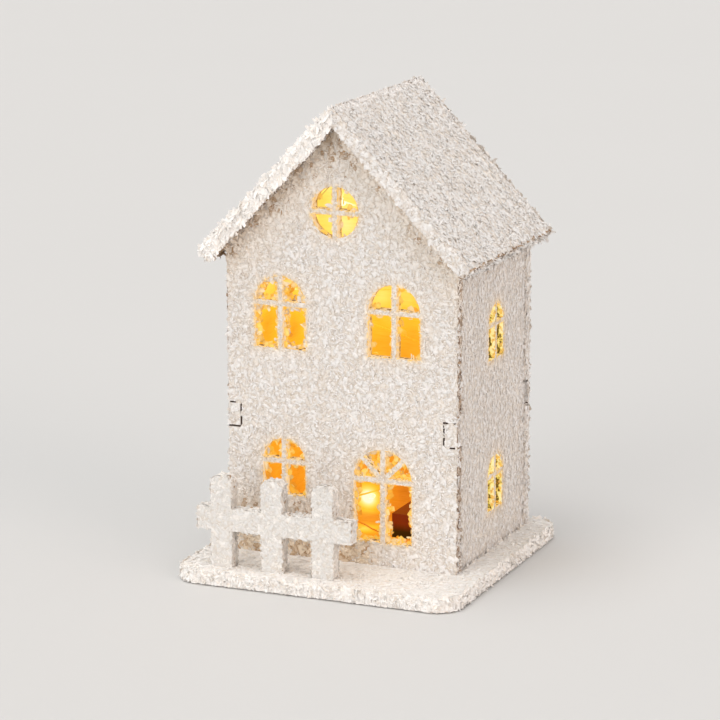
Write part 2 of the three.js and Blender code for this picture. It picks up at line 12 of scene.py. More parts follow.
import bpy
import numpy as np
from mathutils import Matrix, Vector, noise as random_field
from mathutils.bvhtree import BVHTree
from mathutils.kdtree import KDTree


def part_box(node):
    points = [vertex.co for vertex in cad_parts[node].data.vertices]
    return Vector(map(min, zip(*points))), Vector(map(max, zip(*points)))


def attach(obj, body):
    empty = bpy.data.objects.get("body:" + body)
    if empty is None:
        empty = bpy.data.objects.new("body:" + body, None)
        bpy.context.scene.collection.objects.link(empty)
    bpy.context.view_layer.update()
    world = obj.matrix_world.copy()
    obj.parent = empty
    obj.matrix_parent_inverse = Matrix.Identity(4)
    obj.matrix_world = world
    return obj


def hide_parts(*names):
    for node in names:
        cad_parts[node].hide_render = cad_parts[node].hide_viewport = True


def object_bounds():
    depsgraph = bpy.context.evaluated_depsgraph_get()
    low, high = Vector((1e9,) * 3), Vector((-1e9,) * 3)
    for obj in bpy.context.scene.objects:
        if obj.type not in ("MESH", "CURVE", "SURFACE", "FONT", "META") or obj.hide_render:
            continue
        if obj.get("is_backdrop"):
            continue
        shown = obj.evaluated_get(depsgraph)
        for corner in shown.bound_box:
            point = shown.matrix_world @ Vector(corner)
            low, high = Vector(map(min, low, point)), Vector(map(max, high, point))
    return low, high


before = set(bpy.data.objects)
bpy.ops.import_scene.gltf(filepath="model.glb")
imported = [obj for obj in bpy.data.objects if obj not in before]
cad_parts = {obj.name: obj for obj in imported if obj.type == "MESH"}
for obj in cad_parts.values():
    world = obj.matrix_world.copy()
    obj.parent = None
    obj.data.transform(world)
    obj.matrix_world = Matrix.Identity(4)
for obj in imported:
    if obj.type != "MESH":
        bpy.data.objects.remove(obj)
model_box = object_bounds()
mm = 0.001
sides = {"right": 1, "left": -1}
x_way, y_way, z_way = (1, 0, 0), (0, 1, 0), (0, 0, 1)

print("pieces in the model:", len(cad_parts))
print("size in mm:", [round(side / mm, 1) for side in model_box[1] - model_box[0]])

# %% [markdown]
# ## The camera
# A model only compares with a photograph if both look from the same place. The place and the lens were
# solved from the straight edges of the boards in the photograph. The camera looks down a little from
# the front right corner, from well over a metre away, so its lens is long.

# %% Set up the camera
camera_place = Vector((537.92, -1270.41, 415.22)) * mm
camera_yaw = math.radians(23.143)
camera_pitch = math.radians(13.174)
camera_roll = math.radians(-0.129)
camera_lens = 157.38            # on the usual sensor, 36 mm wide

bpy.ops.object.camera_add()
camera = bpy.context.object
camera.data.lens = camera_lens
camera.matrix_world = (
    Matrix.Translation(camera_place)
    @ Matrix.Rotation(camera_yaw, 4, "Z")
    @ Matrix.Rotation(math.pi / 2 - camera_pitch, 4, "X")
    @ Matrix.Rotation(camera_roll, 4, "Z")
)
bpy.context.scene.camera = camera
print("camera distance in m:", round(camera_place.length, 3))

# %% [markdown]
# ## Nodes in a few words
# Every finish is a small tree of nodes. An Output is what a node gives, and it takes plain arithmetic:
# each sum, product or comparison adds the Math node that works it out. So one formula serves for
# arrays of points and for finishes alike. Patterns use Object coordinates, so they keep to the wood or
# the snow from wherever it is seen.

# %% Helpers for nodes
black, white = (0.0, 0.0, 0.0), (1.0, 1.0, 1.0)


def add_node(tree, kind, sockets, **settings):
    made = tree.nodes.new(kind)
    for setting, value in settings.items():
        setattr(made, setting, value)
    for socket, value in sockets.items():
        if isinstance(value, Output):
            tree.links.new(value.socket, made.inputs[socket])
        else:
            made.inputs[socket].default_value = value
    return made


class Output:
    def __init__(self, socket):
        self.socket = socket
        self.tree = socket.id_data

    def node(self, kind, sockets, output=0, **settings):
        """Adds a node beside this one."""
        return Output(add_node(self.tree, kind, sockets, **settings).outputs[output])

    def calculate(self, operation, *others):
        return self.node("ShaderNodeMath", dict(enumerate((self, *others))), operation=operation)

    def measure(self, operation, other):
        return self.node("ShaderNodeVectorMath", {0: self, 1: tuple(other)}, "Value", operation=operation)

    __add__ = partialmethod(calculate, "ADD")
    __sub__ = partialmethod(calculate, "SUBTRACT")
    __mul__ = partialmethod(calculate, "MULTIPLY")
    __pow__ = partialmethod(calculate, "POWER")
    __gt__ = partialmethod(calculate, "GREATER_THAN")
    __lt__ = partialmethod(calculate, "LESS_THAN")
    __abs__ = partialmethod(calculate, "ABSOLUTE")
    sine = partialmethod(calculate, "SINE")
    larger = partialmethod(calculate, "MAXIMUM")
    along = partialmethod(measure, "DOT_PRODUCT")
    distance = partialmethod(measure, "DISTANCE")

    def __rsub__(self, other):
        return self * -1.0 + other

    def __getitem__(self, key):
        """place[..., 0] is a place's X coordinate, as it is for an array of points."""
        return self.along([float(axis == key[-1]) for axis in range(3)])

    def clamped(self):
        self.socket.node.use_clamp = True
        return self


def combined(*numbers):
    return numbers[0].node("ShaderNodeCombineXYZ", dict(enumerate(numbers)))


def ramp(factor, stops):
    colour = factor.node("ShaderNodeValToRGB", {"Fac": factor}, "Color")
    points = colour.socket.node.color_ramp.elements
    while len(points) < len(stops):
        points.new(1.0)
    for point, (place, tone) in zip(points, stops):
        point.position = place
        point.color = (*tone, 1.0)
    return colour


def mixed(factor, first, second, blend="MIX"):
    beside = next(value for value in (factor, first, second) if isinstance(value, Output))
    first, second = ((*value, 1.0) if isinstance(value, tuple) else value for value in (first, second))
    return beside.node("ShaderNodeMix", {0: factor, 6: first, 7: second}, 2,
                       data_type="RGBA", blend_type=blend)


def noise(place, feature, detail=3.0, roughness=0.55):
    sockets = {"Vector": place, "Scale": 1 / feature, "Detail": detail, "Roughness": roughness}
    return place.node("ShaderNodeTexNoise", sockets, "Fac")


def bump(height, distance, strength=1.0):
    sockets = {"Height": height, "Distance": distance, "Strength": strength}
    return height.node("ShaderNodeBump", sockets, "Normal")


def new_finish(name, **plain):
    finish = bpy.data.materials.new(name)
    finish.use_nodes = True
    shader = finish.node_tree.nodes["Principled BSDF"]
    for socket, value in plain.items():
        shader.inputs[socket.replace("_", " ")].default_value = value
    place = Output(add_node(finish.node_tree, "ShaderNodeTexCoord", {}).outputs["Object"])
    return finish, shader, place


def normal_at(place):
    return Output(place.socket.node.outputs["Normal"])


def plug(shader, **outputs):
    """Plugs patterns into a shader, and turns on its own light where one gives it a colour."""
    for socket, output in outputs.items():
        shader.id_data.links.new(output.socket, shader.inputs[socket.replace("_", " ")])
    if "Emission_Color" in outputs:
        shader.inputs["Emission Strength"].default_value = 1.0


# %% [markdown]
# ## The floor and the light
# The object stands on a plain pale floor in soft light, from four suns with wide discs. The strongest
# stands nearly overhead. Two come from the front, a little from the left: a weak one halfway up, and
# one low enough to reach the gable under the roof. A warmer one comes in low from the right, and the
# world adds the rest. Past the floor's edge the camera sees the floor's own colour, and the Light Path
# node keeps that from lighting the object.

# %% Lay the floor and set the lights
floor_colour = (0.62, 0.61, 0.595)
floor_size = 16.0
sky_strength = 0.58
sun_disc = math.radians(40)
suns = [  # name, strength, degrees to the right of the front, degrees of height, colour
    ("key_light", 0.24, -25, 35, white),
    ("top_light", 1.36, -60, 80, white),
    ("front_light", 0.93, -15, 12, (1.0, 0.97, 0.94)),
    ("fill_light", 1.08, 70, 15, (1.0, 0.85, 0.77)),
]

bpy.ops.mesh.primitive_plane_add(size=floor_size, location=(0, 0, -0.1 * mm))
floor = bpy.context.object
floor.name = "floor"
floor_finish, shader, place = new_finish("floor", Roughness=0.9)
plug(shader, Base_Color=ramp(noise(place, 0.4), [(0.0, floor_colour), (1.0, (0.635, 0.625, 0.61))]))
floor.data.materials.append(floor_finish)
floor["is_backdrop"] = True

for name, strength, azimuth, height, colour in suns:
    turn = (math.radians(90 - height), 0, math.radians(azimuth))
    bpy.ops.object.light_add(type="SUN", rotation=turn)
    sun = bpy.context.object
    sun.name = name
    sun.data.energy = strength
    sun.data.angle = sun_disc
    sun.data.color = colour

world = bpy.data.worlds.new("soft_sky")
world.use_nodes = True
bpy.context.scene.world = world
tree = world.node_tree
sky = tree.nodes["Background"]
sky.inputs["Color"].default_value = (*white, 1.0)
sky.inputs["Strength"].default_value = sky_strength
backdrop = add_node(tree, "ShaderNodeBackground", {"Color": (*floor_colour, 1.0), "Strength": 1.0})
path = add_node(tree, "ShaderNodeLightPath", {})
seen = Output(path.outputs["Is Camera Ray"])
for kind in ("Is Glossy Ray", "Is Transmission Ray"):
    seen = seen.larger(Output(path.outputs[kind]))
either = add_node(tree, "ShaderNodeMixShader",
                  {0: seen, 1: Output(sky.outputs[0]), 2: Output(backdrop.outputs[0])})
tree.links.new(either.outputs[0], tree.nodes["World Output"].inputs["Surface"])

bpy.context.scene.view_settings.view_transform = "Standard"
print("suns:", [light.name for light in bpy.data.lights])

# %% [markdown]
# ## Where things are
# The finishes and the flakes need a few places: the room between the walls, the ridge, and the notches
# for the tabs. The room and the ridge come from the boxes of the model's pieces, so they stay right if
# a size changes. Each test takes an array of points, or the place that a finish works with.

# %% Measure the house
def middle(node):
    low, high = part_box(node)
    return (low + high) / 2


front_low, front_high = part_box("front_wall")
room_low = Vector((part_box("left_wall")[1].x, front_high.y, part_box("base_plate")[1].z))
room_high = Vector((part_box("right_wall")[0].x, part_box("back_wall")[0].y, front_high.z))
ridge = Vector((middle("front_wall").x, 0, front_high.z))
roof_pitch = math.radians(46.3)
slope = {sign: Vector((sign * math.sin(roof_pitch), 0, math.cos(roof_pitch))) for sign in (-1, 1)}
front_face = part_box("snow_front")[0].y
right_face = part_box("snow_right")[1].x
notch_middle, notch_height = 69.3 * mm, 11 * mm
notch_side = room_high.x - ridge.x + 0.15 * mm
pane_margin = 3 * mm            # panes stay at least this far inside the room's outline
print("room inside in mm:", [round(side / mm, 1) for side in room_high - room_low])


# %% Tests on places
def below_roof(place):
    """How far a place lies from the underside of the roof boards, measured squarely."""
    drop = (ridge.z - place[..., 2]) * math.cos(roof_pitch)
    return drop - abs(place[..., 0] - ridge.x) * math.sin(roof_pitch)


def in_box(place, low, high, margin, axes=(0, 1, 2)):
    """True, or 1 in a finish, where a place lies inside a box along some axes."""
    centre, half = (low + high) / 2, (high - low) / 2
    inside, *others = [abs(place[..., axis] - centre[axis]) < half[axis] - margin for axis in axes]
    for other in others:
        inside = inside * other
    return inside


def over_room(place, margin, facing=None):
    """In the room, or before or behind it along the axis that a wall faces."""
    axes = [axis for axis in range(3) if axis != facing]
    return (below_roof(place) > margin) * in_box(place, room_low, room_high, margin, axes)


def to_notch(place):
    """How far a place is from the side and from the ends of a tab's notch, negative inside."""
    aside = notch_side - abs(place[..., 0] - ridge.x)
    return aside, abs(place[..., 2] - notch_middle) - notch_height / 2


# %% [markdown]
# ## Lamplight
# The lamps make the room glow. The glow is light in the material of the inner faces, so it looks right
# at any render quality and goes with the model into other programs. It is a deep orange near the floor
# and turns yellow towards the gable, where more of the lamps are. It is brighter around each lamp and
# on the wall nearest to one, and a few patches stay dimmer.

# %% Set the lamplight
lamplight = [
    (0.00, (0.40, 0.085, 0.003)),
    (0.20, (0.70, 0.19, 0.007)),
    (0.35, (0.89, 0.35, 0.014)),
    (0.50, (0.98, 0.49, 0.020)),
    (0.60, (0.98, 0.58, 0.05)),
    (0.75, (1.00, 0.74, 0.14)),
    (0.90, (1.00, 0.86, 0.36)),
    (1.00, (1.00, 0.95, 0.68)),
]
floor_level = 0.17
level_rise = 3.7                # for each metre of height
level_noise = 0.22
lamp_names = sorted(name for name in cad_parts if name.startswith("lamp_"))
light_patches = [               # place in mm, reach in mm, strength
    ((-25, 55.8, 11), 7.5, 1.0),
    ((-14, 25, 5), 10, 0.45),
    ((-37, 55.8, 143), 9, 0.15),
    ((-50, -3, 104), 16, -0.20),
    ((-50, 27, 97), 14, -0.18),
    ((-5, 55.8, 86), 14, -0.16),
    ((-19, 55.8, 84), 10, -0.08),
    ((-18, 55.8, 109), 7, 0.2),
    ((-5, 55.8, 108.5), 6, 0.12),
    ((-6, 55.8, 18), 12, -0.10),
    ((30, 55.8, 32), 14, -0.10),
]
light_patches += [(tuple(middle(name) / mm), 9, 0.35) for name in lamp_names]


def light_level(place):
    """Adds what each bright patch gives to the light at this height, and makes it blotchy."""
    blotches = noise(place, 11 * mm, 2.0, 0.5)
    total = place[..., 2] * level_rise + (floor_level - level_noise / 2)
    total = blotches * level_noise + total
    for spot, reach, strength in light_patches:
        share = place.distance([side * mm for side in spot]) * (1 / (reach * mm))
        total = (share * share + 1.0) ** -2.0 * strength + total
    return total


print("patches of light:", len(light_patches))

# %% [markdown]
# ## Plywood
# The boards are birch plywood. Their faces show a pale, stretched grain. Their edges were cut by a
# laser, so they are burnt nearly black, with the plies as faint lines. Both patterns follow the
# board's own directions: along the grain, across it, and through the sheet. The inner faces hold the
# lamplight. The cut edges of the panes catch it too: they fade from snow at the outside to orange at
# the inside, with burnt spots on the way and on the sills.

# %% Make the plywood finish
ply_thickness = 1.33 * mm
grain_feature = 3.5 * mm
grain_stretch = 0.07
rim_blotch = 2.0 * mm
face_tones = [(0.30, (0.42, 0.24, 0.105)), (0.48, (0.60, 0.40, 0.205)), (0.62, (0.69, 0.49, 0.275))]
pore_tones = [(0.34, (0.62, 0.55, 0.48)), (0.46, white)]
edge_tones = [(0.30, (0.012, 0.006, 0.004)), (0.55, (0.055, 0.024, 0.011)), (0.78, (0.17, 0.085, 0.040))]
front_rim = [(0.00, (0.70, 0.60, 0.48)), (0.35, (0.88, 0.62, 0.35)), (0.56, (0.78, 0.44, 0.15)),
             (0.66, (0.34, 0.15, 0.05)), (0.76, (0.80, 0.42, 0.09)), (1.00, (0.88, 0.50, 0.10))]
right_rim = [(0.00, (0.94, 0.80, 0.44)), (0.22, (0.97, 0.80, 0.30)), (0.31, (0.78, 0.54, 0.08)),
             (0.40, (0.10, 0.06, 0.008)), (0.55, (0.14, 0.08, 0.01)), (0.66, (0.72, 0.42, 0.03)),
             (1.00, (0.97, 0.73, 0.18))]
burnt_sill = (0.20, 0.09, 0.025)
front_edges = (1, front_face, front_high.y, front_rim)
right_edges = (0, right_face, room_high.x, right_rim)


def faces_along(place, facing):
    """1 on the two faces of a board, and 0 on its cut edges."""
    return abs(normal_at(place).along(facing)) > 0.7


def pane_edges(place, on_face, facing, outside, inside, tones):
    """Where the cut edges of the panes are, and their light, from the outside to the inside."""
    cut = over_room(place, pane_margin, facing) * (1.0 - on_face)
    blotches = noise(place, rim_blotch, 2.0, 0.5)
    depth = (place[..., facing] - outside) * (0.6 / (inside - outside))
    light = ramp(depth + blotches - 0.40, tones)
    sill = normal_at(place)[..., 2] > 0.7
    return cut, mixed(sill * (blotches > 0.54), light, burnt_sill)


def dimmed(colour, lit):
    """Where a piece has its own light, it takes little from outside."""
    return mixed(1.0, colour, mixed(lit, white, (0.25, 0.25, 0.25)), "MULTIPLY")


def plywood(name, facing, grain, edges=None):
    finish, shader, place = new_finish(name, Roughness=0.72)
    facing, grain = Vector(facing).normalized(), Vector(grain).normalized()
    depth = place.along(facing)
    fibre = combined(place.along(grain) * grain_stretch, place.along(facing.cross(grain)), depth)
    fine = noise(fibre, 0.5 * mm, 2.0, 0.6)
    face = ramp(noise(fibre, grain_feature, 4.0, 0.6), face_tones)
    face = mixed(1.0, face, ramp(fine, pore_tones), "MULTIPLY")
    plies = (depth * (2 * math.pi / ply_thickness)).sine() * 0.16
    edge = ramp(plies + noise(place, 1.6 * mm, 4.0, 0.65), edge_tones)
    on_face = faces_along(place, facing)
    wood = mixed(on_face, edge, face)
    lit = over_room(place, -0.4 * mm) * on_face
    light = mixed(lit, black, ramp(light_level(place), lamplight))
    if edges:
        cut, rim_light = pane_edges(place, on_face, *edges)
        light = mixed(cut, light, rim_light)
        lit = lit.larger(cut)
    plug(shader, Base_Color=dimmed(wood, lit), Emission_Color=light, Normal=bump(fine, 0.12 * mm, 0.5))
    return finish


def dress(finish, *nodes):
    """Puts a finish on every material slot of some of the model's pieces."""
    for node in nodes:
        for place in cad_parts[node].material_slots:
            place.material = finish


dress(plywood("plywood_front", y_way, x_way, front_edges), "front_wall")
dress(plywood("plywood_right", x_way, y_way, right_edges), "right_wall")
dress(plywood("plywood_gable", y_way, x_way), "back_wall", "fence")
dress(plywood("plywood_side", x_way, y_way), "left_wall")
dress(plywood("plywood_base", z_way, x_way), "base_plate")
for side, sign in sides.items():
    dress(plywood("plywood_roof_" + side, slope[sign], y_way), "roof_" + side)
print("finishes so far:", [finish.name for finish in bpy.data.materials if finish.users])

# %% [markdown]
# ## The glue coat under the flakes
# Between the flakes a layer of snow and glue shows, a little darker and warmer. The model's thin snow
# skins have the right shape for it, so they stay, with a crumpled bump. On the cut edges of a board
# with panes the coat is thin and burnt wood shows through in streaks. Right under the roof the same
# dark streaks are painted shade. The side walls' tabs end in notches in the gable boards, each with a
# thin gap round it, whose shade is painted as a dark line that glue fills here and there.

# %% Make the glue coat
coat_tones = [(0.32, (0.62, 0.53, 0.44)), (0.46, (0.80, 0.74, 0.67)), (0.62, (0.86, 0.82, 0.78))]
# Painted lighter: a whiter copy of the coat, for the base, the fence and the left roof.
coat_tones_painted_lighter = [(0.30, (0.78, 0.73, 0.67)), (0.45, (0.87, 0.835, 0.79)), (0.62, (0.91, 0.885, 0.855))]
burnt_and_shaded_streak_tones = [(0.34, (0.07, 0.038, 0.022)), (0.45, (0.33, 0.22, 0.145)), (0.56, (0.70, 0.60, 0.50))]
gap_shade_tone = (0.040, 0.022, 0.014)
shade_reach = 5 * mm
notch_line = 0.45 * mm


def glue_coat(name, edges=None, gable=False, tones=coat_tones):
    finish, shader, place = new_finish(name, Roughness=0.88)
    clumps = noise(place, 1.5 * mm, 4.0, 0.6)
    cells = place.node("ShaderNodeTexVoronoi", {"Vector": place, "Scale": 1 / (1.7 * mm)}, "Distance")
    crumple = cells * 0.6 + clumps
    colour = ramp(clumps, tones)
    burnt_and_shaded_streaks = ramp(noise(place, 1.9 * mm, 3.0, 0.6), burnt_and_shaded_streak_tones)
    if gable:
        # Painted shade: close under the roof the coat turns to the dark streaks.
        shade = (1.0 - below_roof(place) * (1 / shade_reach)).clamped() * 0.6
        colour = mixed(shade, colour, burnt_and_shaded_streaks)
        # Painted shade: a dark line round each tab's notch, where the gap is, broken where glue fills it.
        aside, height = to_notch(place)
        outline = (abs(aside.larger(height)) < notch_line) * faces_along(place, y_way)
        bare = noise(place, 2.6 * mm, 2.0, 0.5) > 0.46
        colour = mixed(outline * bare, colour, gap_shade_tone)
    if edges:
        on_face = abs(normal_at(place)[..., edges[0]]) > 0.7
        cut, rim_light = pane_edges(place, on_face, *edges)
        colour = dimmed(mixed(on_face, burnt_and_shaded_streaks, colour), cut)
        plug(shader, Emission_Color=mixed(cut, black, rim_light))
    plug(shader, Base_Color=colour, Normal=bump(crumple, 0.5 * mm, 0.8))
    return finish


dress(glue_coat("glue_coat_front", front_edges, gable=True), "snow_front")
dress(glue_coat("glue_coat_back", gable=True), "snow_back")
dress(glue_coat("glue_coat_right", right_edges), "snow_right")
dress(glue_coat("glue_coat_white", tones=coat_tones_painted_lighter), "snow_base", "snow_fence", "snow_roof_left")
dress(glue_coat("glue_coat"), "snow_left", "snow_roof_right")

# %% [markdown]
# ## Two kinds of flake
# The snow is scraps of thin paper that curled as they dried. Broad chips lie nearly flat and give the
# smooth patches. Narrow curls stand up from them and give the fine bright squiggles. Either starts as
# a low cone of twelve triangles, which is stretched, knocked out of shape and bent round. Tens of
# thousands of copies follow, so its few faces matter. A Simple Deform modifier bends along X in the XY
# plane, so a flake is bent standing up, and then laid flat.

# %% Model the flakes
flake_sides = 6
chip_thickness = 0.22
curl_thickness = 0.20
chip_kinds = [  # length and width in mm, curl in degrees
    (2.9, 1.8, 22), (2.7, 2.0, -18), (2.4, 2.1, 30), (3.3, 1.5, 38), (2.5, 1.9, -28), (3.0, 1.7, 12),
]
curl_kinds = [
    (2.4, 0.60, 110), (2.8, 0.75, 80), (2.0, 0.65, -95), (3.1, 0.60, 130), (2.5, 0.90, 60),
    (2.2, 0.55, -120),
]


def modify(piece, kind, **settings):
    modifier = piece.modifiers.new(kind, kind)
    for setting, value in settings.items():
        setattr(modifier, setting, value)
    bpy.ops.object.modifier_apply(modifier=kind)


def model_flake(seed, length, width, curl, thickness):
    bpy.ops.object.select_all(action="DESELECT")
    bpy.ops.mesh.primitive_cone_add(vertices=flake_sides, radius1=0.5, radius2=0, depth=1,
                                    end_fill_type="TRIFAN", rotation=(-math.pi / 2, 0, 0))
    bpy.ops.object.transform_apply(rotation=True)
    flake = bpy.context.object
    bpy.ops.object.mode_set(mode="EDIT")
    bpy.ops.mesh.select_all(action="SELECT")
    bpy.ops.transform.vertex_random(offset=0.14, seed=seed)
    bpy.ops.transform.resize(value=(length, thickness, width), center_override=(0, 0, 0))
    bpy.ops.object.mode_set(mode="OBJECT")
    modify(flake, "SIMPLE_DEFORM", deform_method="BEND", deform_axis="Z", angle=math.radians(curl))
    bpy.ops.object.mode_set(mode="EDIT")
    bpy.ops.transform.rotate(value=-math.pi / 2, orient_axis="X", center_override=(0, 0, 0))
    bpy.ops.object.mode_set(mode="OBJECT")
    points = np.array([vertex.co for vertex in flake.data.vertices]) * mm
    faces = np.array([face.vertices for face in flake.data.polygons])
    bpy.data.objects.remove(flake)
    points[:, :2] -= points[:, :2].mean(axis=0)
    points[:, 2] -= points[:, 2].min()
    print("flake in mm:", np.round(np.ptp(points, axis=0) / mm, 1))
    return points, faces


def model_flakes(kinds, thickness):
    made = [model_flake(seed, *kind, thickness) for seed, kind in enumerate(kinds)]
    return np.array([points for points, faces in made]), made[0][1]


chips, flake_faces = model_flakes(chip_kinds, chip_thickness)
curls, flake_faces = model_flakes(curl_kinds, curl_thickness)

# %% [markdown]
# ## Snow that looks like paper
# Each copy of a flake carries four numbers: how high a point stands above the board, a tone of the
# flake's own, how near it is to a lit pane, and how dark brown it is, for burnt wood on cut edges and
# for painted shade under the roof and behind the fence. Low points get a warm painted shade, and high
# points are white. Paper beside a pane is painted golden, with painted light as if the lamplight shone
# through it.

# %% Make the snow finish
flake_numbers = ("lift", "tone", "warmth", "burn_and_shade")
own_tones = [(0.0, (0.91, 0.86, 0.80)), (0.18, (0.975, 0.95, 0.925)), (0.50, white)]
burnt_and_shaded_tone = (0.40, 0.275, 0.175)
golden_tones = [(0.0, white), (0.15, (1.0, 0.95, 0.885)), (0.35, (1.0, 0.86, 0.62)),
                (0.6, (0.85, 0.60, 0.16)), (0.8, (0.62, 0.34, 0.04)), (1.0, (0.45, 0.20, 0.02))]
glow_tones = [(0.0, black), (0.3, (0.07, 0.045, 0.018)), (0.6, (0.40, 0.24, 0.03)),
              (0.8, (0.58, 0.31, 0.03)), (1.0, (0.56, 0.21, 0.01))]


def paper_snow(name, high, halfway, low):
    finish, shader, place = new_finish(name, Roughness=0.85)
    lift, tone, warmth, burn_and_shade = (
        place.node("ShaderNodeAttribute", {}, "Fac", attribute_name=label) for label in flake_numbers)
    colour = ramp(lift, [(0.0, low), (0.38, halfway), (0.75, high)])
    colour = mixed(1.0, colour, ramp(tone, own_tones), "MULTIPLY")
    # Dark brown for burnt wood, and as painted shade under the roof and behind the fence.
    colour = mixed((burn_and_shade * (1.25 - lift)).clamped(), colour, burnt_and_shaded_tone)
    colour = mixed(1.0, colour, ramp(warmth, golden_tones), "MULTIPLY")
    wrinkles = noise(place, 0.45 * mm, 3.0, 0.6)
    plug(shader, Base_Color=colour, Emission_Color=ramp(warmth, glow_tones),
         Normal=bump(wrinkles, 0.12 * mm, 0.6))
    return finish


# Copies of one paper snow. The walls' is the plain one, the roof's and the fence's are painted darker,
# and the white one lighter, for how the light falls on them.
wall_snow, roof_snow_painted_darker, white_snow_painted_lighter, fence_snow_painted_darker = (paper_snow(*row) for row in (
    ("paper_snow", (0.865, 0.85, 0.843), (0.83, 0.808, 0.787), (0.62, 0.555, 0.49)),
    ("roof_paper_snow", (0.775, 0.762, 0.748), (0.74, 0.725, 0.706), (0.60, 0.55, 0.50)),
    ("white_paper_snow", (0.93, 0.908, 0.882), (0.92, 0.893, 0.863), (0.86, 0.82, 0.77)),
    ("fence_paper_snow", (0.80, 0.79, 0.775), (0.785, 0.77, 0.75), (0.715, 0.685, 0.645))))

# %% [markdown]
# ## Where flakes can lie
# Each snow skin in the model is a thin shell round its board. Flakes lie only on its outer faces, the
# ones with nothing close before them. A search tree of all the model's faces tells that with one ray
# for each face. A ray that leaves a face into a board meets the board's far side from within, which
# shows in the direction of the face it meets.

# %% Find the open faces of a skin
near = 0.8 * mm
least_area = 1e-12


def triangles(node):
    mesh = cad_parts[node].data
    points = np.array([vertex.co for vertex in mesh.vertices])
    return points[np.array([face.vertices for face in mesh.polygons])]


everything = np.concatenate([triangles(name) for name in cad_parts])
tree_points = [Vector(point) for point in everything.reshape(-1, 3)]
tree_faces = np.arange(len(tree_points)).reshape(-1, 3).tolist()
solid_tree = BVHTree.FromPolygons(tree_points, tree_faces)


def is_open(start, normal):
    """False where something is close before a face, or where it faces into a board."""
    place, met, index, distance = solid_tree.ray_cast(start, normal)
    return place is None or (distance > near and met.dot(normal) < 0)


def open_faces(node):
    corners = triangles(node)
    cross = np.cross(corners[:, 1] - corners[:, 0], corners[:, 2] - corners[:, 0])
    areas = np.linalg.norm(cross, axis=1) / 2
    kept = areas > least_area
    corners, areas, normals = corners[kept], areas[kept], cross[kept] / (2 * areas[kept, None])
    starts = corners.mean(axis=1) + normals * 0.01 * mm
    free = np.array([is_open(*map(Vector, pair)) for pair in zip(starts, normals)])
    return corners[free], areas[free], normals[free]


# %% [markdown]
# ## Where the panes are
# The lamplight reaches the flakes through the panes. A grid of rays through a wall finds them: a ray
# that meets nothing within the board's thickness went through a pane. A KD tree of those places then
# tells how far any flake is from a pane.

# %% Find the panes of a wall
pane_grid = 0.6 * mm
through = 9 * mm


def find_panes(facing, outside, direction):
    """Facing is the axis number that the wall faces, and outside is a place just before it."""
    across = 1 - facing
    steps = np.arange(room_low[across] + pane_margin, room_high[across] - pane_margin, pane_grid)
    heights = np.arange(room_low.z + pane_margin, room_high.z - pane_margin, pane_grid)
    grid = np.zeros((len(steps), len(heights), 3))
    grid[..., across] = steps[:, None]
    grid[..., 2] = heights[None, :]
    grid[..., facing] = outside
    grid = grid.reshape(-1, 3)
    grid = grid[over_room(grid, pane_margin, facing)]
    ray = Vector((0, 0, 0))
    ray[facing] = direction
    clear = np.array([solid_tree.ray_cast(Vector(spot), ray, through)[0] is None for spot in grid])
    grid = grid[clear]
    panes = KDTree(len(grid))
    for index, spot in enumerate(grid):
        panes.insert(spot, index)
    panes.balance()
    print("pane area in cm2:", round(len(grid) * pane_grid ** 2 * 1e4, 1))

    def to_pane(points):
        """The distance of each point from the nearest pane, seen squarely through the wall."""
        flat = points.reshape(-1, 3).copy()
        flat[:, facing] = outside
        return np.array([panes.find(point)[2] for point in flat]).reshape(points.shape[:-1])

    return to_pane


front_panes = (find_panes(1, front_face - 0.1 * mm, 1), 0.6)
right_panes = (find_panes(0, right_face + 0.1 * mm, -1), 1.4)

# %% [markdown]
# ## Strewing the flakes
# One function covers a skin. It draws random places on the open faces, turns a flake to lie on each,
# tilts it a little, and writes all the copies into one mesh. The random numbers are seeded, so the
# snow falls the same way every time. On the cut edges of a board the flakes stand up more, which makes
# the outline ragged. Dark brown flakes, for burnt wood and for painted shade, lie in upright strands,
# where a random field that is stretched along Z is low.

# %% Strew flakes over a skin
lift_scale = 0.9 * mm
lowest_flake = 0.25 * mm        # no point of a flake lies nearer the floor than this
by_a_pane = 1.6 * mm            # flakes this near a pane are smaller
size_by_pane = 0.72
glow_limit = 9 * mm
near_glow, far_glow, far_reach = 0.50, 0.15, 3.0


def unit(vectors):
    return vectors / np.linalg.norm(vectors, axis=1)[:, None]


def strand(spot):
    """A smooth random number for a place, mostly between 0 and 1."""
    return 0.5 + 0.9 * random_field.noise(Vector(spot * (420, 420, 190)))


def draw_spots(rng, faces, per_cm2):
    corners, areas, normals = faces
    count = round(areas.sum() * 1e4 * per_cm2)
    chosen = rng.choice(len(areas), count, p=areas / areas.sum())
    u = np.sqrt(rng.random(count))[:, None]
    v = rng.random(count)[:, None]
    first, second, third = (corners[chosen, index] for index in range(3))
    return first * (1 - u) + second * u * (1 - v) + third * u * v, normals[chosen]


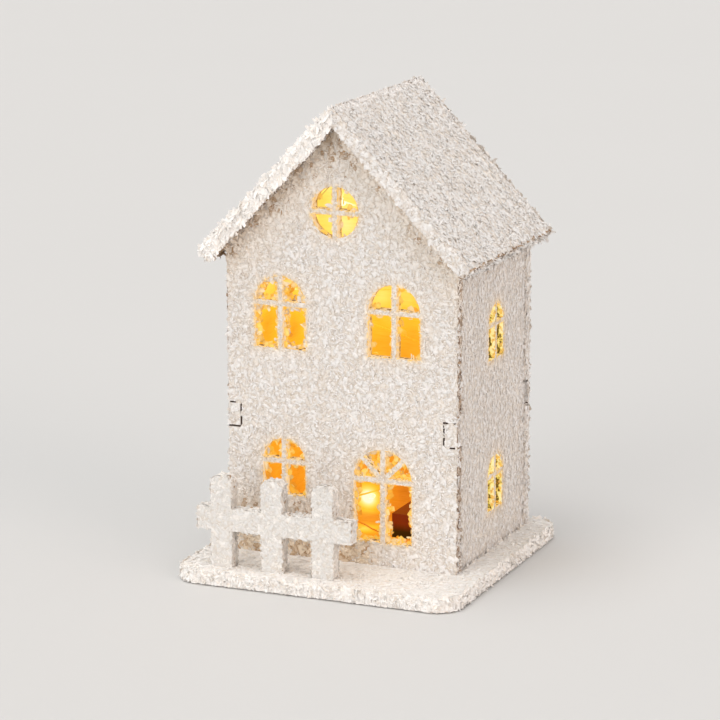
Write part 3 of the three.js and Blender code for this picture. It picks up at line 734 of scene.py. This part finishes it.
def lay_flakes(rng, spots, normals, shapes, size, tilt, upright, flatness):
    """Turns one flake to lie on each spot, and returns the points of them all."""
    count = len(spots)
    steep = np.abs(normals[:, 2:]) < 0.9
    level = unit(np.cross(np.where(steep, (0.0, 0.0, 1.0), (0.0, 1.0, 0.0)), normals))
    up = np.cross(normals, level)
    turn = rng.normal(math.pi / 2, 0.5, count) if upright else rng.random(count) * 2 * math.pi
    turn = turn[:, None]
    x_axis = np.cos(turn) * level + np.sin(turn) * up
    y_axis = np.cross(normals, x_axis)
    lean = np.tan(np.clip(np.abs(rng.normal(0, 1, count)) * tilt, 0, 1.1))[:, None]
    towards = (rng.random(count) * 2 * math.pi)[:, None]
    z_axis = unit(normals + lean * (np.cos(towards) * x_axis + np.sin(towards) * y_axis))
    x_axis = unit(x_axis - (x_axis * z_axis).sum(axis=1)[:, None] * z_axis)
    y_axis = np.cross(z_axis, x_axis)
    shape = shapes[rng.integers(len(shapes), size=count)] * size[:, None, None]
    shape = shape * (1, 1, flatness)
    raised = spots + normals * (rng.uniform(-0.1, 0.2, count) * mm)[:, None]
    return raised[:, None, :] + shape @ np.stack([x_axis, y_axis, z_axis], axis=1)


def snow_mesh(name, points, numbers):
    starts = np.arange(len(points)) * points.shape[1]
    mesh = bpy.data.meshes.new(name)
    mesh.from_pydata(points.reshape(-1, 3).tolist(), [],
                     (flake_faces[None] + starts[:, None, None]).reshape(-1, 3).tolist())
    for label, values in zip(flake_numbers, numbers):
        attribute = mesh.attributes.new(label, "FLOAT", "POINT")
        attribute.data.foreach_set("value", np.ascontiguousarray(values, np.float32).ravel())
    return mesh


def strew(name, node, finish, seed, layers, facing, edge_tilt=0.3, upright=False, panes=None,
          thin_out=None, burn_and_shade_share=None, only=None, clear=None, hang=None, warm=None):
    """Layers are shapes, flakes per cm2, size, tilt and flatness. Facing is the skin's main
    direction, and flakes on other faces lean by edge_tilt. Panes are the distance to them and the
    reach of their glow in mm. thin_out gives the share of flakes that stay at a spot,
    burn_and_shade_share gives the share of dark brown ones, for burnt wood and for painted shade,
    only picks faces by their middles and normals, and clear moves points away from places that stay
    bare. hang gives how many mm flakes reach from a rim into the opening, and how golden they are
    there. warm gives more painted warm light where lamplight falls."""
    rng = np.random.default_rng(seed)
    facing = np.array(facing, float)
    faces = open_faces(node)
    if only:
        chosen = only(faces[0].mean(axis=1), faces[2])
        faces = tuple(part[chosen] for part in faces)
    parts = []
    for shapes, per_cm2, size, tilt, flatness in layers:
        spots, normals = draw_spots(rng, faces, per_cm2)
        if thin_out:
            stay = rng.random(len(spots)) < thin_out(spots, normals)
            spots, normals = spots[stay], normals[stay]
        count = len(spots)
        if hang:
            reach, golden = hang
            spots = spots + normals * (rng.uniform(-0.3, reach, count) * mm)[:, None]
            normals = np.tile(facing, (count, 1))
        sizes = size * rng.uniform(0.65, 1.3, count)
        tilts = np.where(np.abs(normals @ facing) > 0.7, tilt, edge_tilt)
        if panes:
            to_pane, glow_reach = panes
            from_pane = to_pane(spots)
            sizes = np.where(from_pane < by_a_pane, sizes * size_by_pane, sizes)
        points = lay_flakes(rng, spots, normals, shapes, sizes, tilts, upright, flatness)
        if clear:
            points = clear(spots, points)
        lift = np.einsum("nij,nj->ni", points - spots[:, None, :], normals) / lift_scale
        warmth, burn_and_shade = np.zeros(lift.shape), np.zeros(lift.shape)
        if panes:
            close = from_pane < glow_limit
            distance = to_pane(points[close]) / mm
            warmth[close] = near_glow * np.exp(-distance / glow_reach)
            warmth[close] += far_glow * np.exp(-distance / far_reach)
        if hang:
            warmth = golden(points) + rng.normal(0, 0.20, count)[:, None]
        if warm:
            warmth = np.maximum(warmth, warm(points))
        # Flakes turn dark brown in strands, for burnt wood and for painted shade.
        if burn_and_shade_share:
            share = np.broadcast_to(burn_and_shade_share(points, normals[:, None, :]), lift.shape)
            field = np.array([strand(spot) for spot in spots]) + rng.uniform(-0.15, 0.15, count)
            darkened = (field[:, None] < share) & (share > 0.02)
            burn_and_shade = np.where(darkened, rng.uniform(0.5, 1.0, count)[:, None], 0.12 * share)
        tone = np.repeat(rng.random(count)[:, None], lift.shape[1], axis=1)
        points[:, :, 2] += np.maximum(lowest_flake - points[:, :, 2].min(axis=1), 0)[:, None]
        parts.append((points, lift, tone, warmth, burn_and_shade))
    points, *numbers = (np.concatenate(column) for column in zip(*parts))
    snow = bpy.data.objects.new(name, snow_mesh(name, points, numbers))
    bpy.context.collection.objects.link(snow)
    snow.data.materials.append(finish)
    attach(snow, "house")
    print(name, "area in cm2:", round(faces[1].sum() * 1e4, 1), "flakes:", len(points),
          "triangles:", len(snow.data.polygons))


# %% [markdown]
# ## Snow on the walls
# The side walls' tabs show in notches in the edges of the gable boards, each with a thin gap round
# it, whose shade is painted as a dark line. So no flake crosses the outline of a notch: its points are
# pushed back to the side where its middle lies. Close under the roof and on the boards' cut edges the
# flakes are fewer. Among them, dark brown flakes stand for burnt wood on the cut edges, and for painted
# shade under the roof and a little behind the fence.

# %% Strew the walls
notch_gap = 0.4 * mm


def rise(value, start, end):
    """0 before the start and 1 past the end, with an even rise between them."""
    return np.clip((value - start) / (end - start), 0, 1)


def clear_notches(spots, points):
    """Moves the points of flakes off the outline of the tabs' notches."""
    within = (np.maximum(*to_notch(spots)) < 0)[:, None]
    aside, height = to_notch(points)
    nearer_side = ~within & (aside > height)
    new_aside = np.where(within, np.minimum(aside, -notch_gap),
                         np.where(nearer_side, np.maximum(aside, notch_gap), aside))
    new_height = np.where(within, np.minimum(height, -notch_gap),
                          np.where(nearer_side, height, np.maximum(height, notch_gap)))
    crossing = within | (np.maximum(aside, height) < notch_gap)
    right = np.sign(points[..., 0] - ridge.x)
    above = np.sign(points[..., 2] - notch_middle)
    moved = points.copy()
    moved[..., 0] = np.where(crossing, ridge.x + right * (notch_side - new_aside), points[..., 0])
    moved[..., 2] = np.where(crossing, notch_middle + above * (notch_height / 2 + new_height),
                             points[..., 2])
    return moved


def upright_edge(points, normals):
    return (np.abs(normals[..., 0]) > 0.9) & ~over_room(points, pane_margin, 1)


def gable_share(spots, normals):
    share = np.clip(0.60 + below_roof(spots) / (9 * mm), 0.60, 1.0)
    return np.where(upright_edge(spots, normals), 0.75, share)


def roof_shade(points, normals):
    """Painted shade, dark brown, close under the roof, and most at the top."""
    from_top = np.linalg.norm(points[..., [0, 2]] - (ridge.x, ridge.z), axis=-1)
    along_roof = rise(below_roof(points), 9 * mm, 3 * mm)
    return 0.38 * np.maximum(along_roof, rise(from_top, 28 * mm, 8 * mm))


def front_burn_and_shade(points, normals):
    """Burnt wood shows on the upright cut edges too, and painted shade a little behind the fence."""
    edge = 0.36 * upright_edge(points, normals)
    behind = 0.42 * rise(points[..., 2], 34 * mm, 20 * mm) * (points[..., 0] < 14 * mm)
    return np.maximum(np.maximum(roof_shade(points, normals), edge), behind)


def warm_front(points):
    """Painted warm light at the foot of the wall behind the fence, and at the top under the roof."""
    behind_fence = rise(points[..., 2], 46 * mm, 12 * mm) * rise(points[..., 0], 20 * mm, 12 * mm)
    return np.maximum(0.22 * behind_fence, 0.16 * rise(below_roof(points), 22 * mm, 0))


wall_layers = [(chips, 38, 1.0, 0.10, 1.0), (curls, 40, 1.0, 0.30, 1.0)]
back_layers = [(chips, 36, 1.0, 0.08, 1.0), (curls, 37, 1.0, 0.20, 1.0)]
side_layers = [(chips, 44, 0.85, 0.06, 1.0), (curls, 40, 0.85, 0.12, 0.8)]

strew("flakes_front", "snow_front", wall_snow, 1, wall_layers, y_way, panes=front_panes,
      thin_out=gable_share, burn_and_shade_share=front_burn_and_shade, clear=clear_notches, warm=warm_front)
strew("flakes_back", "snow_back", wall_snow, 2, back_layers, y_way, edge_tilt=0.2,
      burn_and_shade_share=roof_shade, clear=clear_notches)
strew("flakes_right", "snow_right", wall_snow, 3, side_layers, x_way, upright=True,
      panes=right_panes, burn_and_shade_share=roof_shade)
strew("flakes_left", "snow_left", wall_snow, 4, side_layers, x_way, upright=True, burn_and_shade_share=roof_shade)


# %% [markdown]
# ## Golden flakes in the windows
# Loose flakes stuck to the rims of the panes hang into them. The lamplight shines through, so they
# look golden, and deeper so the further in they sit. The head of the upper left window and the fan of
# the door window are half full of them, and the other panes are nearly clear. These flakes start on
# the boards' own cut edges, and lie in the plane of the wall.

# %% Hang flakes in the panes
def pane_rims(facing):
    def pick(middles, normals):
        return (np.abs(normals[:, facing]) < 0.5) & over_room(middles, pane_margin, facing)
    return pick


def patchy(spots):
    """Between 0 and 1 in patches of a few mm."""
    field = np.array([random_field.noise(Vector(spot) * 260) for spot in spots])
    return np.clip(0.5 + 3.0 * field, 0, 1)


def rim_share(spots, normals):
    """How full of flakes each window is. A wall's windows are told apart by their places."""
    x, z = spots[:, 0] / mm, spots[:, 2] / mm
    upper = np.where(x < 0, 1.0, 0.20)
    gable_window = z > 145
    door = np.where(x > 18.5, 1.0, 0.6)
    lower = np.where(x < 0, 0.4, door)
    share = np.where(gable_window, 0.10, np.where(z > 80, upper, lower))
    return share * (0.15 + 0.85 * patchy(spots))


def full_heads(spots, normals):
    """The heads of the upper left window and of the door window, and less of other panes left."""
    x, z = spots[:, 0] / mm, spots[:, 2] / mm
    upper_left = np.where(z > 121, 1.0, 0.45) * ((x < 0) & (z > 95) & (z < 145))
    fan = (x > 0) & (z > 44.5) & (z < 80)
    lower_left = (x < 0) & (z > 50) & (z < 80)
    share = upper_left + 0.8 * fan + 0.2 * lower_left
    return share * (0.2 + 0.8 * patchy(spots))


def golden_by_depth(edges, high, low):
    """Flakes in the upper windows are paler than those lower down, where the lamplight is deeper."""
    facing, outside, inside, tones = edges

    def golden(points):
        start = np.where(points[..., 2] > 80 * mm, high, low)
        return start + 0.42 * rise(points[..., facing], outside, inside)
    return golden


front_golden = golden_by_depth(front_edges, 0.30, 0.42)
right_golden = golden_by_depth(right_edges, 0.50, 0.55)
strew("flakes_in_front_panes", "front_wall", wall_snow, 21,
      [(chips, 36, 1.35, 0.15, 0.7), (curls, 16, 1.3, 0.3, 1.0)], (0, -1, 0),
      only=pane_rims(1), thin_out=rim_share, hang=(1.3, front_golden))
strew("flakes_in_full_heads", "front_wall", wall_snow, 23,
      [(chips, 40, 1.4, 0.2, 0.7), (curls, 18, 1.3, 0.4, 1.0)], (0, -1, 0),
      only=pane_rims(1), thin_out=full_heads, hang=(2.0, front_golden))
strew("flakes_in_right_panes", "right_wall", wall_snow, 22,
      [(chips, 6, 0.6, 0.5, 1.0), (curls, 7, 0.8, 0.5, 1.0)], x_way,
      only=pane_rims(0), hang=(0.8, right_golden))


# %% [markdown]
# ## Snow over the seams
# Where two skins of the model meet, the real snow runs on over the joint: at the corners between the
# side walls and the back board, at the tabs in their notches, and at the ridge. More flakes lie there,
# and reach across.

# %% Cover the corners at the back and the sides of the tabs
def tab_sides(middles, normals):
    beyond = (middles[:, 1] < room_low.y) | (middles[:, 1] > room_high.y)
    at_notch = np.abs(middles[:, 2] - notch_middle) < notch_height
    return (np.abs(normals[:, 0]) > 0.9) & beyond & at_notch


for side, sign in sides.items():
    strew("flakes_corner_" + side, "snow_" + side, wall_snow, 30 + sign,
          [(chips, 110, 0.8, 0.25, 1.0), (curls, 60, 0.85, 0.4, 1.0)], (sign, 0, 0),
          thin_out=lambda spots, normals: spots[:, 1] > room_high.y - 1.6 * mm)
for side, sign in sides.items():
    strew("flakes_tabs_" + side, side + "_wall", wall_snow, 40 + sign,
          [(chips, 160, 0.8, 0.3, 1.0), (curls, 120, 0.9, 0.5, 1.0)], (sign, 0, 0),
          only=tab_sides)


# %% [markdown]
# ## Snow on the roof, the base and the fence
# The left verge, which faces the front, has the thickest snow: big pale flakes that stand up like
# feathers. The right one is smoother, and as pale. The eaves' lower edges carry painted shade, so they
# show as thin dark lines, and the undersides of the overhang carry some too. The fence and the base
# are nearly smooth, so their chips are flatter, with fewer curls. The snow of the base and the left
# verge is painted lighter than the walls', and that of the roof and the fence painted darker.

# %% Strew the roof
ridge_width = 2.2 * mm
verge_low, verge_high = -4.4 * mm, -1.3 * mm    # below the roof's underside
roof_layers = [(chips, 34, 1.15, 0.12, 1.0), (curls, 30, 1.25, 0.34, 1.0)]
ridge_layers = [(chips, 90, 0.95, 0.25, 1.0), (curls, 70, 1.0, 0.45, 1.0)]
verges = {  # finish, tilt and layers
    "right": (wall_snow, 0.15, [(chips, 90, 0.9, 0.12, 1.0), (curls, 40, 0.9, 0.2, 1.0)]),
    "left": (white_snow_painted_lighter, 0.32, [(chips, 120, 1.5, 0.30, 1.0), (curls, 45, 1.6, 0.5, 1.0)]),
}


def verge(middles, normals):
    return normals[:, 1] < -0.9


def rest_of_roof(middles, normals):
    eave = (normals[:, 2] < -0.5) & (np.abs(normals[:, 1]) < 0.5)
    return ~verge(middles, normals) & ~eave


def verge_rims(spots, normals):
    """Picks places near the upper and the lower edge of a verge."""
    return (below_roof(spots) > verge_high) | (below_roof(spots) < verge_low)


for side, sign in sides.items():
    skin = "snow_roof_" + side
    verge_snow, verge_tilt, verge_layers = verges[side]
    strew("flakes_roof_" + side, skin, roof_snow_painted_darker, 5 + sign, roof_layers, slope[sign], only=rest_of_roof)
    strew("flakes_verge_" + side, skin, verge_snow, 9 + sign, verge_layers, slope[sign],
          edge_tilt=verge_tilt, only=verge)
    strew("flakes_ridge_" + side, skin, wall_snow, 15 + sign, ridge_layers, slope[sign],
          thin_out=lambda spots, normals: np.abs(spots[:, 0] - ridge.x) < ridge_width)
strew("flakes_fringe_left", "snow_roof_left", white_snow_painted_lighter, 18,
      [(curls, 130, 2.3, 0.3, 1.0), (chips, 90, 1.5, 0.3, 1.0)], slope[-1], edge_tilt=0.30,
      upright=True, only=verge, thin_out=verge_rims)


# %% Fringe the roof's other edges, and strew the undersides of its overhang
def outer_edges(direction):
    """Picks the cut edges of a sheet that faces a direction, apart from a verge at the front."""
    def pick(middles, normals):
        return (np.abs(normals @ np.array(direction)) < 0.5) & ~verge(middles, normals)
    return pick


for side, sign in sides.items():
    # Painted shade: the eaves' lower edges, which face down, get dark brown flakes.
    strew("flakes_edges_" + side, "snow_roof_" + side, roof_snow_painted_darker, 50 + sign,
          [(curls, 70, 2.0, 0.3, 1.0), (chips, 50, 1.3, 0.3, 1.0)], slope[sign], edge_tilt=0.8,
          only=outer_edges(slope[sign]), burn_and_shade_share=lambda points, normals: 0.85 * (normals[..., 2] < -0.5))
for side, sign in sides.items():
    # Painted shade: the flakes under the overhang are partly dark brown.
    strew("flakes_under_" + side, "roof_" + side, wall_snow, 12 + sign,
          [(chips, 50, 0.8, 0.25, 1.0), (curls, 40, 1.0, 0.4, 1.0)], slope[sign],
          only=lambda middles, normals: normals[:, 2] < -0.5,
          thin_out=lambda spots, normals: spots[:, 1] < front_low.y - 1.5 * mm,
          burn_and_shade_share=lambda points, normals: 0.35)

# %% Strew the base and the fence
strew("flakes_base", "snow_base", white_snow_painted_lighter, 7,
      [(chips, 52, 0.85, 0.05, 0.8), (curls, 20, 0.9, 0.25, 0.8)], z_way, edge_tilt=0.6)
strew("flakes_edges_base", "snow_base", white_snow_painted_lighter, 17,
      [(curls, 70, 1.4, 0.3, 1.0), (chips, 60, 1.2, 0.3, 1.0)], z_way, edge_tilt=0.6,
      only=lambda middles, normals: np.abs(normals[:, 2]) < 0.5)
strew("flakes_fence", "snow_fence", fence_snow_painted_darker, 8,
      [(chips, 90, 0.72, 0.04, 0.7), (curls, 16, 0.7, 0.15, 0.7)], y_way, edge_tilt=0.35,
      thin_out=lambda spots, normals: np.where(np.abs(normals[:, 1]) < 0.5, 0.9, 1.0),
      burn_and_shade_share=lambda points, normals: 0.12 * (np.abs(normals[..., 1]) < 0.5))

# %% [markdown]
# ## The battery case and the switch
# A moulded black case stands on the base plate and shows dark behind the door window. From below, its
# lid and the knob of the switch show in an opening of the base. Moulded edges are never sharp, so
# bevelled copies of these pieces stand for the plain ones. The plastic has the fine grain of its
# mould, with paler rubbed spots, and in the room it takes on a little of the lamps' light.

# %% Make the black plastic
plastic_tones = [(0.35, (0.013, 0.012, 0.012)), (0.60, (0.022, 0.021, 0.021)),
                 (0.74, (0.040, 0.038, 0.037))]
case_wall = 0.6 * mm


def room_light(place, tint, from_height=0.0, full_height=1.0 * mm):
    """The lamplight at a place, tinted, from one height upwards and in full at another."""
    share = ((place[..., 2] - from_height) * (1 / (full_height - from_height))).clamped()
    light = mixed(1.0, ramp(light_level(place), lamplight), tint, "MULTIPLY")
    return mixed(share, black, light)


def black_plastic(name, lit):
    finish, shader, place = new_finish(name)
    grain = noise(place, 0.25 * mm, 3.0, 0.6)
    rubbed = noise(place, 6 * mm, 4.0, 0.6)
    plug(shader, Base_Color=ramp(rubbed, plastic_tones), Roughness=rubbed * 0.3 + 0.33,
         Normal=bump(grain, 0.03 * mm, 0.5))
    if lit:
        light = room_light(place, (0.22, 0.03, 0.10), 8 * mm, 12 * mm)
        inner = in_box(place, *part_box("battery_case"), case_wall)
        plug(shader, Emission_Color=mixed(inner, light, black))
    return finish


# %% Round the moulded edges
def softened(node, body, width, finish):
    bpy.ops.object.select_all(action="DESELECT")
    made = bpy.data.objects.new(node + "_moulded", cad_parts[node].data.copy())
    bpy.context.collection.objects.link(made)
    made.select_set(True)
    bpy.context.view_layer.objects.active = made
    bpy.ops.mesh.customdata_custom_splitnormals_clear()
    bpy.ops.object.mode_set(mode="EDIT")
    bpy.ops.mesh.select_all(action="SELECT")
    bpy.ops.mesh.remove_doubles(threshold=0.01 * mm)
    bpy.ops.mesh.dissolve_limited(angle_limit=math.radians(3))
    bpy.ops.object.mode_set(mode="OBJECT")
    modify(made, "BEVEL", width=width, segments=2, limit_method="ANGLE", angle_limit=math.radians(40))
    bpy.ops.object.shade_smooth_by_angle(angle=math.radians(35))
    made.data.materials.clear()
    made.data.materials.append(finish)
    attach(made, body)
    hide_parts(node)
    print(made.name, "faces:", len(made.data.polygons))


outside_plastic = black_plastic("case_plastic_outside", lit=False)
softened("battery_case", "house", 0.30 * mm, black_plastic("case_plastic_lit", lit=True))
softened("battery_lid", "lid", 0.20 * mm, outside_plastic)
softened("switch_knob", "knob", 0.25 * mm, outside_plastic)

# %% [markdown]
# ## Metal inside the case
# The cells are stamped from bright steel, and turning marks run round them, made by a noise of the
# distance from the cells' axis. The screw, the contacts and the switch have a slightly blotchy
# plating, and the lead between them is smooth and red.

# %% Dress the metal pieces
def turned_steel(name, node, light, dark):
    finish, shader, place = new_finish(name, Metallic=1.0)
    axis = middle(node)
    aside, behind = place[..., 0] - axis.x, place[..., 1] - axis.y
    marks = noise(combined((aside * aside + behind * behind) ** 0.5), 0.22 * mm, 3.0, 0.7)
    blotches = noise(place, 3 * mm, 3.0, 0.6)
    plug(shader, Base_Color=ramp(marks, [(0.35, dark), (0.65, light)]),
         Roughness=blotches * 0.25 + 0.20, Normal=bump(marks, 0.02 * mm, 0.6))
    return finish


def plated(name, light, dark):
    finish, shader, place = new_finish(name, Metallic=1.0)
    blotches = noise(place, 1.2 * mm, 4.0, 0.65)
    plug(shader, Base_Color=ramp(blotches, [(0.35, dark), (0.60, light)]),
         Roughness=blotches * 0.3 + 0.18, Normal=bump(blotches, 0.02 * mm, 0.4))
    return finish


dress(turned_steel("cell_steel", "coin_cell_lower", (0.76, 0.76, 0.77), (0.55, 0.55, 0.56)),
      "coin_cell_lower", "coin_cell_upper")
dress(turned_steel("screw_steel", "lid_screw", (0.66, 0.66, 0.68), (0.40, 0.40, 0.41)), "lid_screw")
dress(plated("contact_plating", (0.72, 0.70, 0.66), (0.50, 0.47, 0.42)),
      "cell_contact_top", "cell_contact_side")
dress(plated("switch_plating", (0.62, 0.62, 0.63), (0.42, 0.42, 0.43)), "switch_body")

lead_finish, shader, place = new_finish("lead_insulation", Roughness=0.3)
dust = noise(place, 0.8 * mm, 3.0, 0.6)
plug(shader, Base_Color=ramp(dust, [(0.40, (0.42, 0.012, 0.010)), (0.68, (0.52, 0.045, 0.035))]))
dress(lead_finish, "battery_lead")

# %% [markdown]
# ## The light string
# The lamps are drops of clear resin, and lit they look nearly white. The wire is lacquered copper.
# High up it is so brightly lit that it hardly stands out from the wall behind it, and near the floor
# it looks brown. The dabs of hot glue that hold it are milky and take on the light round them.

# %% Dress the light string
lamp_finish, shader, place = new_finish("lit_lamp", Base_Color=(0.9, 0.85, 0.7, 1.0), Roughness=0.15)
swirl = noise(place, 1.4 * mm, 2.0, 0.5)
plug(shader, Emission_Color=ramp(swirl, [(0.35, (1.0, 0.84, 0.46)), (0.60, (1.0, 0.95, 0.76))]))
dress(lamp_finish, *lamp_names)

wire_finish, shader, place = new_finish("lacquered_copper", Metallic=0.9, Roughness=0.35)
worn = noise(place, 1.5 * mm, 3.0, 0.6)
low_light = room_light(place, (0.42, 0.26, 0.30))
high_light = room_light(place, (1.0, 0.95, 0.88), 14 * mm, 22 * mm)
plug(shader, Base_Color=ramp(worn, [(0.35, (0.30, 0.12, 0.05)), (0.65, (0.48, 0.22, 0.09))]),
     Emission_Color=mixed(1.0, low_light, high_light, "LIGHTEN"))
dress(wire_finish, "light_wire")

glue_finish, shader, place = new_finish("hot_glue", Roughness=0.28)
cloudy = noise(place, 1.1 * mm, 3.0, 0.6)
plug(shader, Base_Color=ramp(cloudy, [(0.35, (0.26, 0.21, 0.14)), (0.65, (0.36, 0.31, 0.23))]),
     Emission_Color=room_light(place, (0.86, 0.80, 0.85)), Normal=bump(cloudy, 0.15 * mm, 0.5))
dress(glue_finish, *[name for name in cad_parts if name.startswith("glue_dab_")])

# %% [markdown]
# ## Done
# The last lines write the size of the dressed form.

# %% Write the dressed size
dressed_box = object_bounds()
print("dressed size in mm:", [round(side / mm, 1) for side in dressed_box[1] - dressed_box[0]])
